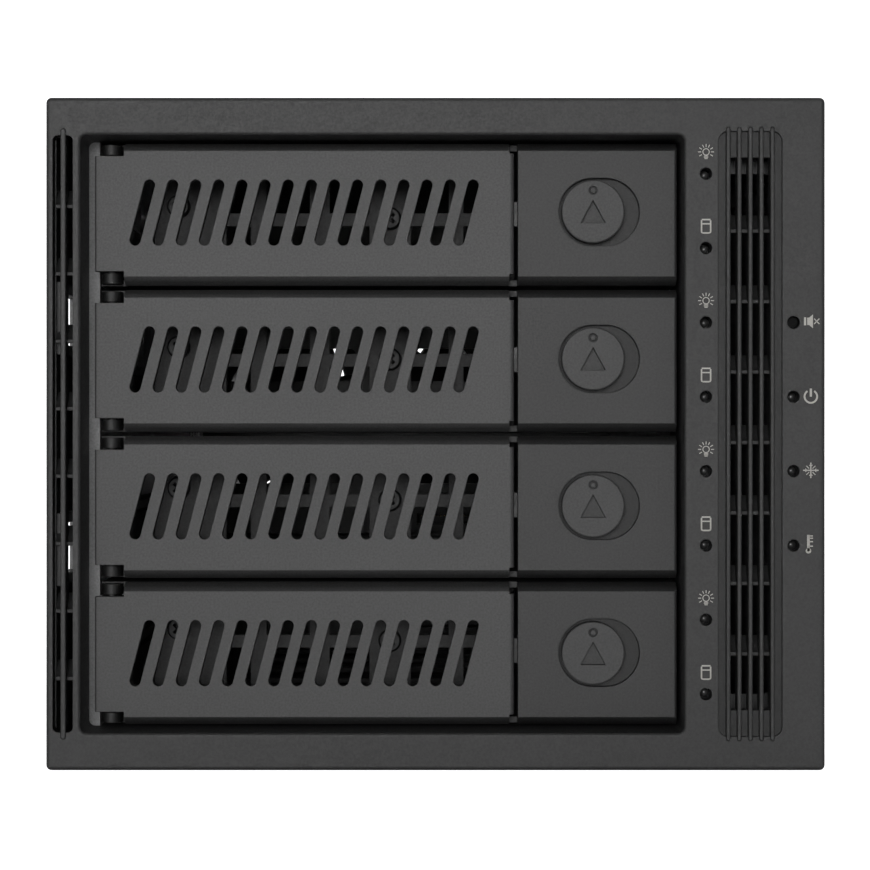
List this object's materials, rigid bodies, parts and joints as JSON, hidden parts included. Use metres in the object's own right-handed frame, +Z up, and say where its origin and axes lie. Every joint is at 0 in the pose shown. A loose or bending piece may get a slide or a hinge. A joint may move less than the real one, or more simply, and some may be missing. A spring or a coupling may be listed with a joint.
{
  "type": "hot swap drive cage",
  "caption": "Bay-mounted cage with stacked hot swap drive trays, slotted eject levers, round key-lock latches, vents, indicators and a rear fan.",
  "frame": {"origin": "under the middle of the whole cage, on the surface that it stands on", "axes": "+X to the right of someone facing the bezel, -Y out of the bezel, +Z up"},
  "size_m": [0.147, 0.225, 0.127],
  "materials": {
    "bezel_plastic": "fine moulded texture, charcoal",
    "tray_plastic": "fine moulded texture, charcoal grey",
    "button_plastic": "fine moulded texture, charcoal grey",
    "slider_plastic": "smooth moulded acetal",
    "rail_plastic": "smooth moulded nylon",
    "fan_plastic": "black moulded, satin",
    "socket_plastic": "black moulded",
    "port_plastic": "natural nylon",
    "component_plastic": "black epoxy and sleeve",
    "board_laminate": "green solder mask",
    "cage_paint": "black powder coat",
    "plated_steel": "zinc plated sheet",
    "screw_steel": "zinc plated",
    "black_screw": "black zinc",
    "pin_steel": "drawn steel",
    "spring_steel": "spring wire",
    "guard_chrome": "plated wire",
    "led_lens": "smoked epoxy"
  },
  "bodies": {
    "cage": {"bezel": "bezel_plastic", "cage_shell": "cage_paint", "cage_cover": "cage_paint", "rear_panel": "cage_paint", "inner_wall_left": "plated_steel", "inner_wall_right": "plated_steel", "guide_rails": "rail_plastic", "case_screws": "screw_steel", "backplane_board": "board_laminate", "board_screws": "screw_steel", "drive_sockets": "socket_plastic", "data_ports": "socket_plastic", "power_ports": "port_plastic", "board_parts": "component_plastic", "buzzer": "component_plastic", "fan_frame": "fan_plastic", "fan_guard": "guard_chrome", "fan_screws": "screw_steel", "led_board": "board_laminate", "led_board_screws": "screw_steel", "indicator_leds": "led_lens", "mute_switch": "component_plastic"},
    "tray_1": {"tray_sled_1": "plated_steel", "tray_front_1": "tray_plastic", "tray_screws_1": "black_screw", "lever_pin_1": "pin_steel", "lever_spring_1": "spring_steel", "latch_spring_1": "spring_steel"},
    "lever_1": {"lever_1": "tray_plastic"},
    "latch_1": {"latch_slider_1": "slider_plastic"},
    "lock_1": {"lock_disc_1": "button_plastic"},
    "tray_2": {"tray_sled_2": "plated_steel", "tray_front_2": "tray_plastic", "tray_screws_2": "black_screw", "lever_pin_2": "pin_steel", "lever_spring_2": "spring_steel", "latch_spring_2": "spring_steel"},
    "lever_2": {"lever_2": "tray_plastic"},
    "latch_2": {"latch_slider_2": "slider_plastic"},
    "lock_2": {"lock_disc_2": "button_plastic"},
    "tray_3": {"tray_sled_3": "plated_steel", "tray_front_3": "tray_plastic", "tray_screws_3": "black_screw", "lever_pin_3": "pin_steel", "lever_spring_3": "spring_steel", "latch_spring_3": "spring_steel"},
    "lever_3": {"lever_3": "tray_plastic"},
    "latch_3": {"latch_slider_3": "slider_plastic"},
    "lock_3": {"lock_disc_3": "button_plastic"},
    "tray_4": {"tray_sled_4": "plated_steel", "tray_front_4": "tray_plastic", "tray_screws_4": "black_screw", "lever_pin_4": "pin_steel", "lever_spring_4": "spring_steel", "latch_spring_4": "spring_steel"},
    "lever_4": {"lever_4": "tray_plastic"},
    "latch_4": {"latch_slider_4": "slider_plastic"},
    "lock_4": {"lock_disc_4": "button_plastic"},
    "fan": {"fan_rotor": "fan_plastic"},
    "mute": {"mute_button": "button_plastic"}
  },
  "joints": [
    {"name": "tray_slide_1", "type": "slide", "parent": "cage", "child": "tray_1", "axis": [0, -1, 0], "range_m": [0, 0.14]},
    {"name": "lever_swing_1", "type": "hinge", "parent": "tray_1", "child": "lever_1", "pos_m": [-0.0622, -0.104, 0.10556], "axis": [0, 0, -1], "range_deg": [0, 75], "deforming": ["lever_spring_1"]},
    {"name": "latch_push_1", "type": "slide", "parent": "tray_1", "child": "latch_1", "axis": [1, 0, 0], "range_m": [0, 0.0024], "stiffness_N_per_m": 300, "springref_m": -0.002, "deforming": ["latch_spring_1"]},
    {"name": "lock_turn_1", "type": "hinge", "parent": "latch_1", "child": "lock_1", "pos_m": [0.03, -0.1084, 0.10586], "axis": [0, 1, 0], "range_deg": [0, 90]},
    {"name": "tray_slide_2", "type": "slide", "parent": "cage", "child": "tray_2", "axis": [0, -1, 0], "range_m": [0, 0.14]},
    {"name": "lever_swing_2", "type": "hinge", "parent": "tray_2", "child": "lever_2", "pos_m": [-0.0622, -0.104, 0.07752], "axis": [0, 0, -1], "range_deg": [0, 75], "deforming": ["lever_spring_2"]},
    {"name": "latch_push_2", "type": "slide", "parent": "tray_2", "child": "latch_2", "axis": [1, 0, 0], "range_m": [0, 0.0024], "stiffness_N_per_m": 300, "springref_m": -0.002, "deforming": ["latch_spring_2"]},
    {"name": "lock_turn_2", "type": "hinge", "parent": "latch_2", "child": "lock_2", "pos_m": [0.03, -0.1084, 0.07782], "axis": [0, 1, 0], "range_deg": [0, 90]},
    {"name": "tray_slide_3", "type": "slide", "parent": "cage", "child": "tray_3", "axis": [0, -1, 0], "range_m": [0, 0.14]},
    {"name": "lever_swing_3", "type": "hinge", "parent": "tray_3", "child": "lever_3", "pos_m": [-0.0622, -0.104, 0.04948], "axis": [0, 0, -1], "range_deg": [0, 75], "deforming": ["lever_spring_3"]},
    {"name": "latch_push_3", "type": "slide", "parent": "tray_3", "child": "latch_3", "axis": [1, 0, 0], "range_m": [0, 0.0024], "stiffness_N_per_m": 300, "springref_m": -0.002, "deforming": ["latch_spring_3"]},
    {"name": "lock_turn_3", "type": "hinge", "parent": "latch_3", "child": "lock_3", "pos_m": [0.03, -0.1084, 0.04978], "axis": [0, 1, 0], "range_deg": [0, 90]},
    {"name": "tray_slide_4", "type": "slide", "parent": "cage", "child": "tray_4", "axis": [0, -1, 0], "range_m": [0, 0.14]},
    {"name": "lever_swing_4", "type": "hinge", "parent": "tray_4", "child": "lever_4", "pos_m": [-0.0622, -0.104, 0.02144], "axis": [0, 0, -1], "range_deg": [0, 75], "deforming": ["lever_spring_4"]},
    {"name": "latch_push_4", "type": "slide", "parent": "tray_4", "child": "latch_4", "axis": [1, 0, 0], "range_m": [0, 0.0024], "stiffness_N_per_m": 300, "springref_m": -0.002, "deforming": ["latch_spring_4"]},
    {"name": "lock_turn_4", "type": "hinge", "parent": "latch_4", "child": "lock_4", "pos_m": [0.03, -0.1084, 0.02174], "axis": [0, 1, 0], "range_deg": [0, 90]},
    {"name": "fan_spin", "type": "hinge", "parent": "cage", "child": "fan", "pos_m": [-0.022, 0.0958, 0.0635], "axis": [0, 1, 0], "continuous": true},
    {"name": "mute_press", "type": "slide", "parent": "cage", "child": "mute", "axis": [0, 1, 0], "range_m": [0, 0.0004], "stiffness_N_per_m": 800, "springref_m": -0.0002}
  ]
}
